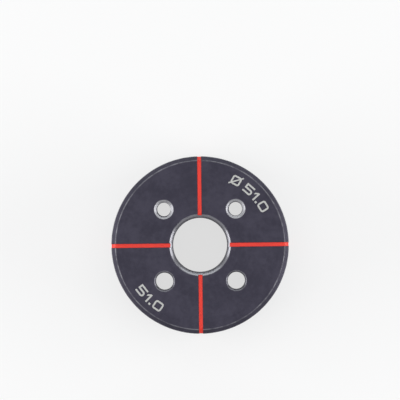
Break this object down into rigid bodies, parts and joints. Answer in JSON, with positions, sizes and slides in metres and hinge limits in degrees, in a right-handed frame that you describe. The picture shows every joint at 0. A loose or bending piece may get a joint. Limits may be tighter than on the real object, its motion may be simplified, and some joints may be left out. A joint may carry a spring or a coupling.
{
  "type": "knockout die",
  "caption": "Cup-shaped steel knockout die with a draw-stud bore, plain and tapped holes beside it, and engraved target lines across its face and down its side.",
  "frame": {"origin": "centre of the cutting rim, on the surface that the die stands on", "axes": "+Z along the turning axis from the cutting rim to the marked face; +X and +Y along the target lines"},
  "size_m": [0.064, 0.064, 0.034],
  "materials": {
    "black_steel": "black oxide, satin"
  },
  "bodies": {
    "root": {"knockout_die": "black_steel"}
  },
  "joints": []
}
